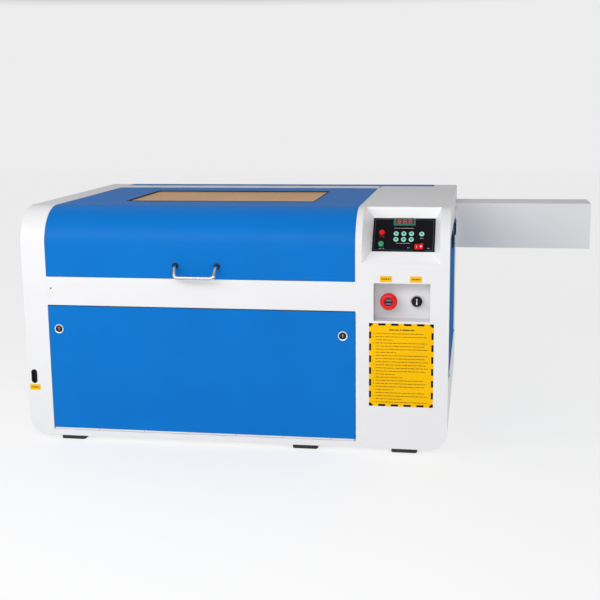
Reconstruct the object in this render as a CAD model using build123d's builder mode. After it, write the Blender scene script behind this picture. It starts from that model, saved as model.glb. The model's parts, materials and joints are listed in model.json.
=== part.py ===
"""Desktop laser engraver: a sheet-steel cabinet with its lid, doors, controls, gantry, table and laser tube.

Every sketch plane starts at the cabinet's lower front left corner: X runs right, Y back and Z up from there.
"""

from build123d import *
from math import atan2, degrees, hypot
import os

os.makedirs("parts", exist_ok=True)

# Cabinet
W = 1020  # width of the cabinet without the tube extension
H = 559  # height of the cabinet above its feet
D = 697  # depth of the cabinet to its rear panel
T = 2  # sheet thickness
R_TOP = 89  # bend along the front top edge
R_FOOT = 45  # bend along the lower outer edges
FOOT_H = 10
CHEEK_W = 60.5  # left cheek
COL_X = 806  # inner wall of the control column
DOOR_Z = (20.4, 324.5)
RAIL_Z = (325.5, 395.2)
LID_X = (61.5, 805.3)
LID_BACK = 577.3
BAY_Y = 586  # front wall of the tube bay
BAY_Z = 390  # floor of the tube bay
DECK_BACK = 647.4
COVER_X = (62, 956)
EXT_X = (W, 1380)
EXT_Y = (560, 680)
EXT_Z = (399, 521)
COLLAR_END = 745  # end of the exhaust collar behind the rear panel
HANDLE_OUT = 31  # how far the lid handle stands in front

# Optics and motion
BEAM_Z = 472  # height of the laser beam
TUBE_Y = 622
TUBE_R = 27.5
RAIL_X = (91.5, 774.5)  # centres of the two Y rails
GUIDE_X = (95, 771)
GUIDE_Y = (70, 440)
GUIDE_R = 5
TABLE_TOP = 386
HEAD_X = 160
HEAD_Y = 454

# Controls
CHORD_Z = 439  # lower edge of the panel recess
CHORD_Y = 98  # rear edge of the panel recess
RECESS_X = (821, 998)
PANEL_DEPTH = 20
PANEL_X = (839.5, 983.8)
PANEL_T = (43.5, 135)
SWITCH_X = (848, 977)
SWITCH_Z = (305, 393)
SWITCH_DEPTH = 40
STOP_AT = (882.2, 349)
KEY_AT = (945.5, 347)

X0 = -EXT_X[1] / 2
Y0 = -(COLLAR_END - HANDLE_OUT) / 2
CORNER = (X0, Y0, FOOT_H)
PLAN = Plane(origin=CORNER, x_dir=(1, 0, 0), z_dir=(0, 0, 1))
FRONT = Plane(origin=CORNER, x_dir=(1, 0, 0), z_dir=(0, -1, 0))
SIDE = Plane(origin=CORNER, x_dir=(0, 1, 0), z_dir=(1, 0, 0))
CHORD = hypot(CHORD_Y, H - CHORD_Z)
SIN = CHORD_Y / CHORD
COS = (H - CHORD_Z) / CHORD
PANEL = Plane(origin=(X0, Y0, FOOT_H + CHORD_Z), x_dir=(1, 0, 0), z_dir=(0, -COS, SIN))


def about(middle, half):
    """The two ends of a stretch about its middle."""
    return (middle - half, middle + half)


def grown(ends, by):
    """A stretch made longer by the same amount at both ends."""
    return (ends[0] - by, ends[1] + by)


def slab(x, y, z, mode=Mode.ADD):
    """A block between two X, two Y and two Z values."""
    with BuildSketch(PLAN.offset(z[0])) as outline:
        with Locations(((x[0] + x[1]) / 2, (y[0] + y[1]) / 2)):
            Rectangle(x[1] - x[0], y[1] - y[0])
    extrude(outline.sketch, amount=z[1] - z[0], mode=mode)


def disc(plane, at, r, length, mode=Mode.ADD):
    """A cylinder that stands on a plane at a point and goes back into it for its length."""
    with BuildSketch(plane) as outline:
        with Locations(at):
            Circle(r)
    extrude(outline.sketch, amount=-length, mode=mode)


def pad(plane, x, y, length, r=0, mode=Mode.ADD):
    """A block on a plane, with rounded corners, that goes back into it for its length."""
    with BuildSketch(plane) as outline:
        with Locations(((x[0] + x[1]) / 2, (y[0] + y[1]) / 2)):
            if r:
                RectangleRounded(x[1] - x[0], y[1] - y[0], r)
            else:
                Rectangle(x[1] - x[0], y[1] - y[0])
    extrude(outline.sketch, amount=-length, mode=mode)


def save(piece, name):
    """Label a finished piece and write its file."""
    piece.part.label = name
    export_step(piece.part, f"parts/{name}.step")


def cabinet_section(inset=0, back=D, low=0):
    """The cabinet's outline seen from the side, inset by a distance, as a sketch in the SIDE plane's axes."""
    with BuildSketch() as section:
        with BuildLine():
            Line((inset, low + inset), (inset, H - R_TOP))
            ThreePointArc(
                (inset, H - R_TOP),
                (R_TOP - (R_TOP - inset) * 0.5**0.5, H - R_TOP + (R_TOP - inset) * 0.5**0.5),
                (R_TOP, H - inset),
            )
            Polyline((R_TOP, H - inset), (back, H - inset), (back, low + inset), (inset, low + inset))
        make_face()
    return section.sketch


def bent_band(width, low, back, x, amount):
    """A strip of the given width that follows the cabinet's front, bend and top."""
    mid = 0.5**0.5
    with BuildSketch(SIDE.offset(x)) as section:
        with BuildLine():
            Line((0, low), (0, H - R_TOP))
            ThreePointArc((0, H - R_TOP), (R_TOP * (1 - mid), H - R_TOP * (1 - mid)), (R_TOP, H))
            Polyline((R_TOP, H), (back, H), (back, H - width), (R_TOP, H - width))
            r = R_TOP - width
            ThreePointArc((R_TOP, H - width), (R_TOP - r * mid, H - R_TOP + r * mid), (width, H - R_TOP))
            Polyline((width, H - R_TOP), (width, low), (0, low))
        make_face()
    extrude(section.sketch, amount=amount)


def piano_hinge(x, at, up, lift, width, knuckles=13, r=2.5, r_pin=1.2):
    """The fixed leaf, moving leaf and pin of a long hinge about a line along X.

    at is the axis in Y and Z, up the direction of the moving leaf, and lift the leaves' place across it.
    """
    gap = 0.6
    pitch = (x[1] - x[0]) / knuckles
    start = (X0 + x[0], Y0 + at[0], FOOT_H + at[1])
    leaves = []
    for side in (-1, 1):
        axes = Plane(origin=start, x_dir=(0, up[0] * side, up[1] * side), z_dir=(1, 0, 0))
        low, high = (lift[0], lift[1]) if side > 0 else (-lift[1], -lift[0])
        with BuildPart() as leaf:
            with BuildSketch(axes) as flat:
                with Locations(((r + 0.5 + width) / 2, (low + high) / 2)):
                    Rectangle(width - r - 0.5, high - low)
            extrude(flat.sketch, amount=x[1] - x[0])
            for n in range(knuckles):
                if n % 2 == (side > 0):
                    with BuildSketch(axes.offset(n * pitch + gap / 2)) as eye:
                        Circle(r)
                        with Locations(((r + 1) / 2, (low + high) / 2)):
                            Rectangle(r + 1, high - low)
                        Circle(r_pin + 0.05, mode=Mode.SUBTRACT)
                    extrude(eye.sketch, amount=pitch - gap)
        leaves.append(leaf)
    with leaves[0]:
        with BuildSketch(Plane(origin=start, x_dir=(0, 1, 0), z_dir=(1, 0, 0))) as wire:
            Circle(r_pin)
        extrude(wire.sketch, amount=x[1] - x[0], mode=Mode.ADD)
    return leaves


# ---------------------------------------------------------------- casing

with BuildPart() as base_pan:
    slab((CHEEK_W, COL_X), (0, D), (0, T))
    slab((CHEEK_W, COL_X), (0, T), (0, 14.6))
save(base_pan, "base_pan")

with BuildPart() as feet:
    for x in (77, 655, 890):
        for y in (4, 620):
            slab((x, x + 60), (y, y + 60), (-FOOT_H, 0))
    fillet(feet.edges().filter_by(Axis.Z), 6)
save(feet, "feet")

PORT_AT = (16.2, 147.2)
with BuildPart() as left_cheek:
    extrude(SIDE * cabinet_section(), amount=CHEEK_W)
    foot_edge = left_cheek.edges().filter_by(Axis.Y).group_by(Axis.Z)[0].sort_by(Axis.X)[0]
    fillet(foot_edge, R_FOOT)
    offset(amount=-T, openings=left_cheek.faces().sort_by(Axis.Y)[-1])
    with BuildSketch(FRONT) as port_hole:
        with Locations(PORT_AT):
            SlotOverall(35, 15.4, rotation=90)
    extrude(port_hole.sketch, amount=-T, mode=Mode.SUBTRACT)
save(left_cheek, "left_cheek")

with BuildPart() as side_port:
    with BuildSketch(FRONT) as plug:
        with Locations(PORT_AT):
            SlotOverall(34.6, 15, rotation=90)
    extrude(plug.sketch, amount=-8)
    with BuildSketch(FRONT) as well:
        with Locations(PORT_AT):
            SlotOverall(28, 9, rotation=90)
    extrude(well.sketch, amount=-5, mode=Mode.SUBTRACT)
save(side_port, "side_port")

ACCESS_Y = (25, 535)
ACCESS_Z = (160, 492)
with BuildPart() as column_shell:
    extrude(SIDE.offset(COL_X) * cabinet_section(), amount=W - COL_X)
    foot_edge = column_shell.edges().filter_by(Axis.Y).group_by(Axis.Z)[0].sort_by(Axis.X)[-1]
    fillet(foot_edge, R_FOOT)
    offset(amount=-T, openings=column_shell.faces().sort_by(Axis.Y)[-1])
    slab((COL_X - 1, COL_X + T + 1), (BAY_Y, D + 1), (BAY_Z, H + 1), mode=Mode.SUBTRACT)
    slab(RECESS_X, (-1, CHORD_Y), (CHORD_Z, H + 1), mode=Mode.SUBTRACT)
    slab(SWITCH_X, (-1, T + 1), SWITCH_Z, mode=Mode.SUBTRACT)
    slab((COL_X - 1, COVER_X[1] + 1), (DECK_BACK, D + 1), (H - T - 1, H + 1), mode=Mode.SUBTRACT)
    slab((W - T - 1, W + 1), ACCESS_Y, ACCESS_Z, mode=Mode.SUBTRACT)
    disc(SIDE.offset(W + 1), (TUBE_Y, BEAM_Z), 40, T + 2, mode=Mode.SUBTRACT)
save(column_shell, "column_shell")

with BuildPart() as side_access_panel:
    slab((W - T, W), (ACCESS_Y[0] + 0.6, ACCESS_Y[1] - 0.6), (ACCESS_Z[0] + 0.6, ACCESS_Z[1] - 0.6))
    slab((W - 2 * T, W - T), (ACCESS_Y[0] - 12, ACCESS_Y[1] + 12), (ACCESS_Z[0] - 12, ACCESS_Z[1] + 12))
    for y in (186, 432):
        for z in (454, 466, 478):
            slab((W - 5, W + 1), (y, y + 64), (z, z + 5), mode=Mode.SUBTRACT)
    for y in (ACCESS_Y[0] + 12, ACCESS_Y[1] - 12):
        for z in (ACCESS_Z[0] + 12, ACCESS_Z[1] - 12):
            disc(SIDE.offset(W + 2.2), (y, z), 4, 2.2)
save(side_access_panel, "side_access_panel")

with BuildPart() as front_rail:
    slab((CHEEK_W, COL_X), (0, T), RAIL_Z)
    slab((CHEEK_W, COL_X), (T, 40), (RAIL_Z[1] - T, RAIL_Z[1]))
    slab((CHEEK_W, COL_X), (T, 14), (RAIL_Z[0], RAIL_Z[0] + T))
    disc(FRONT, (70.9, 367), 2, T, mode=Mode.SUBTRACT)
    for keeper in ((CHEEK_W, 72), (792, COL_X)):
        slab(keeper, (15.4, 17.4), (240, 296))
save(front_rail, "front_rail")

EXHAUST_AT = (433, 210)
BARBS = ((880, 330), (915, 330))
AIR_AT = (950, 330)
INLET_AT = (913, 70)
with BuildPart() as rear_panel:
    slab((3, W - 3), (D, D + T), (3, BAY_Z + T))
    fillet(rear_panel.edges().filter_by(Axis.Y).group_by(Axis.Z)[0], R_FOOT - 3)
    slab((3, COVER_X[0] - 2), (D, D + T), (BAY_Z + T, H - 3))
    slab((COVER_X[1] + 2, W - 3), (D, D + T), (BAY_Z + T, H - 3))
    disc(FRONT.offset(-D), EXHAUST_AT, 73, T, mode=Mode.SUBTRACT)
    for at in BARBS + (AIR_AT,):
        disc(FRONT.offset(-D), at, 4.05, T, mode=Mode.SUBTRACT)
    slab(about(INLET_AT[0], 20), (D, D + T), about(INLET_AT[1], 13), mode=Mode.SUBTRACT)
    for start in (90, 865):
        for n in range(8):
            x = start + 12 * n
            slab((x, x + 5), (D - 1, D + T + 1), (150, 240), mode=Mode.SUBTRACT)
save(rear_panel, "rear_panel")

with BuildPart() as tube_bay:
    slab((CHEEK_W, COL_X), (LID_BACK + 6, DECK_BACK), (H - T, H))
    slab((CHEEK_W, COL_X), (BAY_Y + T, BAY_Y + 28), (H - 14, H - 12))
    slab((CHEEK_W, COL_X), (BAY_Y + 26, BAY_Y + 28), (H - 12, H - T))
    slab((CHEEK_W, COL_X), (BAY_Y, BAY_Y + T), (T, H - 4))
    slab((CHEEK_W, W - T), (BAY_Y + T, D), (BAY_Z, BAY_Z + T))
    disc(FRONT.offset(-BAY_Y), (98, BEAM_Z), 8, T, mode=Mode.SUBTRACT)
    for n in range(5):
        pad(FRONT.offset(-BAY_Y), (313, 553), (150 + 26 * n, 160 + 26 * n), T, 4.9, mode=Mode.SUBTRACT)
save(tube_bay, "tube_bay")

with BuildPart() as tube_extension:
    slab((EXT_X[0], EXT_X[1]), EXT_Y, EXT_Z)
    offset(amount=-T, openings=tube_extension.faces().sort_by(Axis.X)[0])
save(tube_extension, "tube_extension")

with BuildPart() as exhaust_collar:
    disc(FRONT.offset(-COLLAR_END), EXHAUST_AT, 75, -(COLLAR_END - D - T))
    disc(FRONT.offset(-D - T - 2), EXHAUST_AT, 92, -2)
    disc(FRONT.offset(-COLLAR_END), EXHAUST_AT, 73, -(COLLAR_END - D - T), mode=Mode.SUBTRACT)
save(exhaust_collar, "exhaust_collar")

# ---------------------------------------------------------------- lid

WINDOW_X = (205, 684)
WINDOW_Y = (190, 475)
LID_LOW = RAIL_Z[1] + 1
lid_leaf_fixed, lid_leaf_moving = piano_hinge(
    (70, 797), (LID_BACK + 3, H - T - 0.3), (-1, 0), (-0.3, 1.5), 26
)
save(lid_leaf_fixed, "lid_hinge_fixed")

with BuildPart() as lid:
    bent_band(T, LID_LOW, LID_BACK, LID_X[0], LID_X[1] - LID_X[0])
    bent_band(18, LID_LOW, LID_BACK - 30, LID_X[0], T)
    bent_band(18, LID_LOW, LID_BACK - 30, LID_X[1] - T, T)
    slab(LID_X, (0, 18), (LID_LOW, LID_LOW + T))
    slab(WINDOW_X, WINDOW_Y, (H - T - 1, H + 1), mode=Mode.SUBTRACT)
    add(lid_leaf_moving.part)
save(lid, "lid")

with BuildPart() as window:
    slab((WINDOW_X[0] - 9, WINDOW_X[1] + 9), (WINDOW_Y[0] - 9, WINDOW_Y[1] + 9), (H - T - 3, H - T))
save(window, "window")

with BuildPart() as window_frame:
    slab((WINDOW_X[0] - 14, WINDOW_X[1] + 14), (WINDOW_Y[0] - 14, WINDOW_Y[1] + 14), (H - T - 6, H - T))
    slab(WINDOW_X, WINDOW_Y, (H - T - 7, H), mode=Mode.SUBTRACT)
    slab(grown(WINDOW_X, 9), grown(WINDOW_Y, 9), (H - T - 3, H), mode=Mode.SUBTRACT)
save(window_frame, "window_frame")

HANDLE_X = (382, 482)
HANDLE_Z = (426, 402)
HANDLE_R = 4
with BuildPart() as lid_handle:
    bar_y = Y0 - HANDLE_OUT + HANDLE_R
    ends = [(X0 + x, Y0 - 4, FOOT_H + HANDLE_Z[0] - 4) for x in HANDLE_X]
    bends = [(X0 + x, bar_y, FOOT_H + HANDLE_Z[1]) for x in HANDLE_X]
    with BuildLine() as route:
        FilletPolyline(ends[0], bends[0], bends[1], ends[1], radius=9)
    with BuildSketch(Plane(origin=ends[0], z_dir=route.line % 0)) as bar:
        Circle(HANDLE_R)
    sweep(bar.sketch, path=route.line)
    for x in HANDLE_X:
        disc(FRONT, (x, HANDLE_Z[0]), 8, -3)
        disc(FRONT, (x, HANDLE_Z[0] - 1), 5.5, -6)
save(lid_handle, "lid_handle")

# ---------------------------------------------------------------- front door

LOCKS_AT = ((87, 268), (777, 268))
door_leaf_fixed, door_leaf_moving = piano_hinge((62.5, 804), (2.5, 17.5), (0, 1), (-1.3, 0.5), 24)
with BuildPart() as door_hinge:
    add(door_leaf_fixed.part)
    slab((0, W), (-5, 20), (-30, T), mode=Mode.SUBTRACT)
save(door_hinge, "door_hinge_fixed")

with BuildPart() as front_door:
    slab(LID_X, (0, 15), DOOR_Z)
    open_faces = [front_door.faces().sort_by(Axis.Y)[-1], front_door.faces().sort_by(Axis.Z)[0]]
    offset(amount=-T, openings=open_faces)
    for at in LOCKS_AT:
        disc(FRONT, at, 9.4, T, mode=Mode.SUBTRACT)
    add(door_leaf_moving.part)
save(front_door, "front_door")

with BuildPart() as lock_barrels:
    for at in LOCKS_AT:
        disc(FRONT.offset(2.5), at, 11.5, 2.5)
        disc(FRONT, at, 9.3, 15)
        disc(FRONT.offset(2.5), at, 7.05, 18, mode=Mode.SUBTRACT)
save(lock_barrels, "lock_barrels")

CAM = (18, 2.4, 22)  # start behind the face, thickness and reach
for name, at in zip(("lock_core_left", "lock_core_right"), LOCKS_AT):
    with BuildPart() as core:
        disc(FRONT.offset(2), at, 7, CAM[0] + CAM[1] + 2)
        pad(FRONT.offset(-CAM[0]), (at[0] - 6, at[0] + 6), (at[1] - CAM[2], at[1] + 7), CAM[1], 3)
        pad(FRONT.offset(2), (at[0] - 0.8, at[0] + 0.8), (at[1] - 4, at[1] + 4), 4, mode=Mode.SUBTRACT)
    save(core, name)

# ---------------------------------------------------------------- rear cover

COVER_AXIS_Y = DECK_BACK + 3
cover_leaf_fixed, cover_leaf_moving = piano_hinge(
    (COVER_X[0] + 2, COL_X - 4), (COVER_AXIS_Y, H - T - 0.3), (1, 0), (-1.5, 0.3), 26
)
save(cover_leaf_fixed, "cover_hinge_fixed")

with BuildPart() as rear_cover:
    slab(COVER_X, (COVER_AXIS_Y + 3, D + T + 2.4), (H - T, H))
    slab(COVER_X, (D + T + 0.4, D + T + 2.4), (BAY_Z + 6, H - T))
    for n in range(20):
        x = 300 + 20 * n
        slab((x, x + 12), (D, D + 6), (440, 446), mode=Mode.SUBTRACT)
    add(cover_leaf_moving.part)
save(rear_cover, "rear_cover")

# ---------------------------------------------------------------- controls

BEVEL_BACK = PANEL.offset(-PANEL_DEPTH)
with BuildPart() as panel_bezel:
    block = SIDE.offset(RECESS_X[0] - T) * cabinet_section(T, CHORD_Y + 3)
    extrude(block, amount=RECESS_X[1] - RECESS_X[0] + 2 * T)
    split(bisect_by=BEVEL_BACK, keep=Keep.TOP)
    slab((0, W), (-1, 200), (0, CHORD_Z - 2), mode=Mode.SUBTRACT)
    with BuildSketch(PANEL) as mouth:
        with Locations(((RECESS_X[0] + RECESS_X[1]) / 2, CHORD / 2)):
            Rectangle(RECESS_X[1] - RECESS_X[0], CHORD)
    with BuildSketch(BEVEL_BACK) as floor:
        with Locations(((PANEL_X[0] + PANEL_X[1]) / 2, (PANEL_T[0] + PANEL_T[1]) / 2)):
            Rectangle(PANEL_X[1] - PANEL_X[0], PANEL_T[1] - PANEL_T[0])
    loft(sections=[mouth.sketch, floor.sketch], mode=Mode.SUBTRACT)
    extrude(mouth.sketch, amount=60, mode=Mode.SUBTRACT)
save(panel_bezel, "panel_bezel")

PANEL_FACE = BEVEL_BACK
RED_AT = (861, 91.7)
GREEN_AT = (860.4, 61.1)
KEYS_AT = [(893.8 + 17.7 * n, t) for t in (92, 76.4) for n in range(3)] + [(952.8, 91.5)]
KEY_R = 6
ROCKER_X = (935, 959.5)
ROCKER_T = (48, 66)
DISPLAY_X = (886.5, 937.5)
DISPLAY_T = (113.5, 134)
PUSH_R = 7
ROCKER_MID = ((ROCKER_X[0] + ROCKER_X[1]) / 2, (ROCKER_T[0] + ROCKER_T[1]) / 2)
ROCKER_AXLE = 4  # depth of the rocking axis behind the panel's face
ROCKER_AXIS = Plane(
    origin=PANEL_FACE.from_local_coords((ROCKER_MID[0], ROCKER_T[0] + 0.5, -ROCKER_AXLE)),
    x_dir=(1, 0, 0),
    z_dir=PANEL.y_dir,
)
with BuildPart() as panel_plate:
    pad(PANEL_FACE, (PANEL_X[0] - 4, PANEL_X[1] + 4), (PANEL_T[0] - 4, PANEL_T[1] + 4), 2)
    for at in KEYS_AT:
        disc(PANEL_FACE, at, KEY_R + 0.3, 2, mode=Mode.SUBTRACT)
    for at in (RED_AT, GREEN_AT):
        disc(PANEL_FACE, at, PUSH_R + 0.3, 2, mode=Mode.SUBTRACT)
    pad(PANEL_FACE.offset(1.2), DISPLAY_X, DISPLAY_T, 1.2)
    pad(PANEL_FACE.offset(1.2), (893, 931), (118.9, 130.3), 0.6, mode=Mode.SUBTRACT)
    pad(PANEL_FACE.offset(2.2), grown(ROCKER_X, 1), grown(ROCKER_T, 1), 2.2)
    pad(PANEL_FACE, ROCKER_X, ROCKER_T, 20)
    pad(PANEL_FACE.offset(3), grown(ROCKER_X, -1), grown(ROCKER_T, -1), 20, mode=Mode.SUBTRACT)
    with BuildSketch(ROCKER_AXIS) as axle:
        Circle(1)
    extrude(axle.sketch, amount=ROCKER_T[1] - ROCKER_T[0] - 1)
save(panel_plate, "panel_plate")

for n, at in enumerate(KEYS_AT):
    with BuildPart() as key:
        disc(PANEL_FACE.offset(1.6), at, KEY_R, 5)
        fillet(key.faces().sort_by(Axis.Z)[-1].edges(), 0.7)
    save(key, f"key_{n + 1}")

for name, at in (("red_button", RED_AT), ("green_button", GREEN_AT)):
    with BuildPart() as button:
        disc(PANEL_FACE.offset(9), at, PUSH_R, 22)
        fillet(button.faces().sort_by(Axis.Z)[-1].edges(), 2)
    save(button, name)

with BuildPart() as rocker:
    with BuildSketch(ROCKER_AXIS.offset(0.9)) as paddle:
        with BuildLine():
            Polyline((-10.6, -5), (0, -6), (9.2, -8.6), (8.8, 2), (-9, 2), (-10.6, -5))
        make_face()
        Circle(1.1, mode=Mode.SUBTRACT)
    extrude(paddle.sketch, amount=15.2)
save(rocker, "rocker")

RECESS_FLOOR = FRONT.offset(-SWITCH_DEPTH)
STOP_R = 20
with BuildPart() as switch_recess:
    slab((SWITCH_X[0] - T, SWITCH_X[1] + T), (T, SWITCH_DEPTH + T), (SWITCH_Z[0] - T, SWITCH_Z[1] + T))
    slab(SWITCH_X, (0, SWITCH_DEPTH), SWITCH_Z, mode=Mode.SUBTRACT)
    disc(RECESS_FLOOR, STOP_AT, 11.1, T, mode=Mode.SUBTRACT)
    disc(RECESS_FLOOR, KEY_AT, 11.1, T, mode=Mode.SUBTRACT)
save(switch_recess, "switch_recess")

with BuildPart() as switch_bases:
    disc(RECESS_FLOOR.offset(12), STOP_AT, 14.5, 12)
    disc(RECESS_FLOOR, STOP_AT, 11, 30)
    slab(about(STOP_AT[0], 15), (SWITCH_DEPTH + 30, SWITCH_DEPTH + 55), about(STOP_AT[1], 18))
    disc(RECESS_FLOOR.offset(12), STOP_AT, 8, 36, mode=Mode.SUBTRACT)
    disc(RECESS_FLOOR, KEY_AT, 11, 45)
    disc(RECESS_FLOOR.offset(14), KEY_AT, 14.5, 14)
    disc(RECESS_FLOOR.offset(14), KEY_AT, 11.55, 12, mode=Mode.SUBTRACT)
save(switch_bases, "switch_bases")

with BuildPart() as estop_stem:
    disc(RECESS_FLOOR.offset(22.7), STOP_AT, 7.95, 40.7)
save(estop_stem, "estop_stem")

with BuildPart() as estop_head:
    disc(RECESS_FLOOR.offset(38), STOP_AT, STOP_R, 15)
    fillet(estop_head.faces().sort_by(Axis.Y)[0].edges(), 6)
    disc(RECESS_FLOOR.offset(39), STOP_AT, 9.2, 4, mode=Mode.SUBTRACT)
    pad(RECESS_FLOOR.offset(37), about(STOP_AT[0], 8), about(STOP_AT[1], 1.5), 3)
save(estop_head, "estop_head")

with BuildPart() as key_rotor:
    disc(RECESS_FLOOR.offset(19), KEY_AT, 11.5, 16.6)
    fillet(key_rotor.faces().sort_by(Axis.Y)[0].edges(), 1)
    pad(
        RECESS_FLOOR.offset(19), about(KEY_AT[0], 1.4), about(KEY_AT[1], 7), 4,
        mode=Mode.SUBTRACT,
    )
save(key_rotor, "key_rotor")

with BuildPart() as labels:
    pad(FRONT.offset(0.4), (838, 986), (103, 300), 0.4)
    pad(FRONT.offset(0.4), (862.5, 890), (396.3, 410), 0.4)
    pad(FRONT.offset(0.4), (931, 958), (396.3, 410), 0.4)
    pad(FRONT.offset(0.4), (4, 30.6), (113, 127), 0.4)
save(labels, "labels")

# ---------------------------------------------------------------- gantry

RAIL_Y = (56, 560)
RAIL_Z0 = 430
BEAM_Y = (490, 520)
BEAM_TOP = 500
LEDGE_REACH = 42
with BuildPart() as y_rails:
    for x in RAIL_X:
        slab((x - 7.5, x + 7.5), RAIL_Y, (RAIL_Z0, RAIL_Z0 + 15))
        slab((x - 7.6, x - 5.5), RAIL_Y, (RAIL_Z0 + 6, RAIL_Z0 + 9), mode=Mode.SUBTRACT)
        slab((x + 5.5, x + 7.6), RAIL_Y, (RAIL_Z0 + 6, RAIL_Z0 + 9), mode=Mode.SUBTRACT)
    for wall, edge in ((CHEEK_W, CHEEK_W + LEDGE_REACH), (COL_X - LEDGE_REACH, COL_X)):
        slab((wall, edge), RAIL_Y, (RAIL_Z0 - 4, RAIL_Z0))
    for wall in (CHEEK_W, COL_X - 3):
        slab((wall, wall + 3), RAIL_Y, (RAIL_Z0 - 4, RAIL_Z0 + 26))
save(y_rails, "y_rails")

BELT_Z = 510
X_PULLEYS = ((100, 545), (766, 545))
PULLEY_R = 6
with BuildPart() as gantry_beam:
    slab((79, 787), BEAM_Y, (BEAM_TOP - 30, BEAM_TOP))
    for z in (BEAM_TOP - 24, BEAM_TOP - 12):
        slab((78, 788), (BEAM_Y[1] - 4, BEAM_Y[1] + 1), (z, z + 6), mode=Mode.SUBTRACT)
    slab((112, 756), (BEAM_Y[0] - 9, BEAM_Y[0]), (478, 487))
    for x in RAIL_X:
        slab((x - 12.5, x + 12.5), (BEAM_Y[0], 572), (RAIL_Z0 + 15.4, BEAM_TOP - 30))
        slab((x - 12.5, x - 7.9), (BEAM_Y[0], 550), (RAIL_Z0 + 4, RAIL_Z0 + 15.4))
        slab((x + 7.9, x + 12.5), (BEAM_Y[0], 550), (RAIL_Z0 + 4, RAIL_Z0 + 15.4))
    for inner, outer in ((117, 104), (749, 762)):
        slab((min(inner, outer), max(inner, outer)), (BEAM_Y[0] + 5, BEAM_Y[1]), (455, BEAM_TOP - 30))
        slab((inner - 4, inner + 4), (BEAM_Y[0] + 5, BEAM_Y[1]), (448, 455))
    slab((84, 112), (HEAD_Y - 14, BEAM_Y[0]), (BEAM_Z - 14, BEAM_Z + 26))
    chamfer(gantry_beam.edges().filter_by(Axis.Z).group_by(Axis.Y)[0].sort_by(Axis.X)[0], 14)
    slab((88, 112), (BEAM_Y[1], 560), (BEAM_TOP - 2, BEAM_TOP + 1))
    slab((88, 112), (BEAM_Y[1], BEAM_Y[1] + 2), (BEAM_TOP - 20, BEAM_TOP - 2))
save(gantry_beam, "gantry_beam")

with BuildPart() as x_motor:
    slab((745, 787), (524, 566), (BEAM_TOP - 29.9, BEAM_TOP - 2))
    fillet(x_motor.edges().filter_by(Axis.Z), 4)
    slab((740, 792), (BEAM_Y[1], 569), (BEAM_TOP - 2, BEAM_TOP + 1))
    for at in X_PULLEYS:
        disc(PLAN.offset(BELT_Z + 4), at, 2.5, BELT_Z + 3 - BEAM_TOP)
        disc(PLAN.offset(BELT_Z + 3.2), at, PULLEY_R, 6.4)
        disc(PLAN.offset(BELT_Z + 4), at, PULLEY_R + 2, 0.8)
        disc(PLAN.offset(BELT_Z - 3.2), at, PULLEY_R + 2, 0.8)
save(x_motor, "x_motor")


def belt_loop(plane, ends, r, width, thick=1.2):
    """A flat belt round two equal pulleys, its near edge on the plane."""
    with BuildSketch(plane) as loop:
        (x1, y1), (x2, y2) = ends
        length = hypot(x2 - x1, y2 - y1)
        with Locations(Location(((x1 + x2) / 2, (y1 + y2) / 2), degrees(atan2(y2 - y1, x2 - x1)))):
            SlotCenterToCenter(length, 2 * (r + thick))
            SlotCenterToCenter(length, 2 * r, mode=Mode.SUBTRACT)
    extrude(loop.sketch, amount=-width)


with BuildPart() as x_belt:
    belt_loop(PLAN.offset(BELT_Z + 2.8), X_PULLEYS, PULLEY_R + 0.3, 5.6)
save(x_belt, "x_belt")

with BuildPart() as laser_head:
    slab((HEAD_X - 18, HEAD_X + 18), (HEAD_Y - 18, 472), (BEAM_Z - 18, BEAM_Z + 24))
    chamfer(laser_head.faces().sort_by(Axis.Z)[-1].edges().sort_by(Axis.X)[-1], 16)
    disc(SIDE.offset(HEAD_X - 17), (HEAD_Y, BEAM_Z), 5, 1, mode=Mode.SUBTRACT)
    slab((HEAD_X - 30, HEAD_X + 30), (472, 480.6), (462, BEAM_TOP + 2))
    slab((HEAD_X - 30, HEAD_X + 30), (480.6, 487), (487.4, 492))
    slab((HEAD_X - 30, HEAD_X + 30), (480.6, 487), (472, 477.6))
    slab((HEAD_X - 12, HEAD_X + 12), (472, 536.5), (BEAM_TOP + 1.5, BEAM_TOP + 4))
    slab((HEAD_X - 12, HEAD_X + 12), (533.5, 536.5), (BEAM_TOP + 4, BELT_Z + 3))
save(laser_head, "laser_head")

with BuildPart() as lens_tube:
    disc(PLAN.offset(BEAM_Z - 18), (HEAD_X, HEAD_Y), 12, 42)
    disc(PLAN.offset(430), (HEAD_X, HEAD_Y), 14, 8)
    with BuildSketch(PLAN.offset(412)) as wide:
        with Locations((HEAD_X, HEAD_Y)):
            Circle(11)
    with BuildSketch(PLAN.offset(394)) as narrow:
        with Locations((HEAD_X, HEAD_Y)):
            Circle(4)
    loft(sections=[wide.sketch, narrow.sketch])
    disc(PLAN.offset(414), (HEAD_X, HEAD_Y), 1.5, 21, mode=Mode.SUBTRACT)
save(lens_tube, "lens_tube")

SHAFT_AT = (30, 438)
Y_PULLEY_X = (113, 753)
Y_PULLEY_R = 8
with BuildPart() as y_drive_shaft:
    disc(SIDE.offset(762), SHAFT_AT, 4, 658)
    for x in Y_PULLEY_X:
        disc(SIDE.offset(x + 4), SHAFT_AT, Y_PULLEY_R, 8)
save(y_drive_shaft, "y_drive_shaft")

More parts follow.
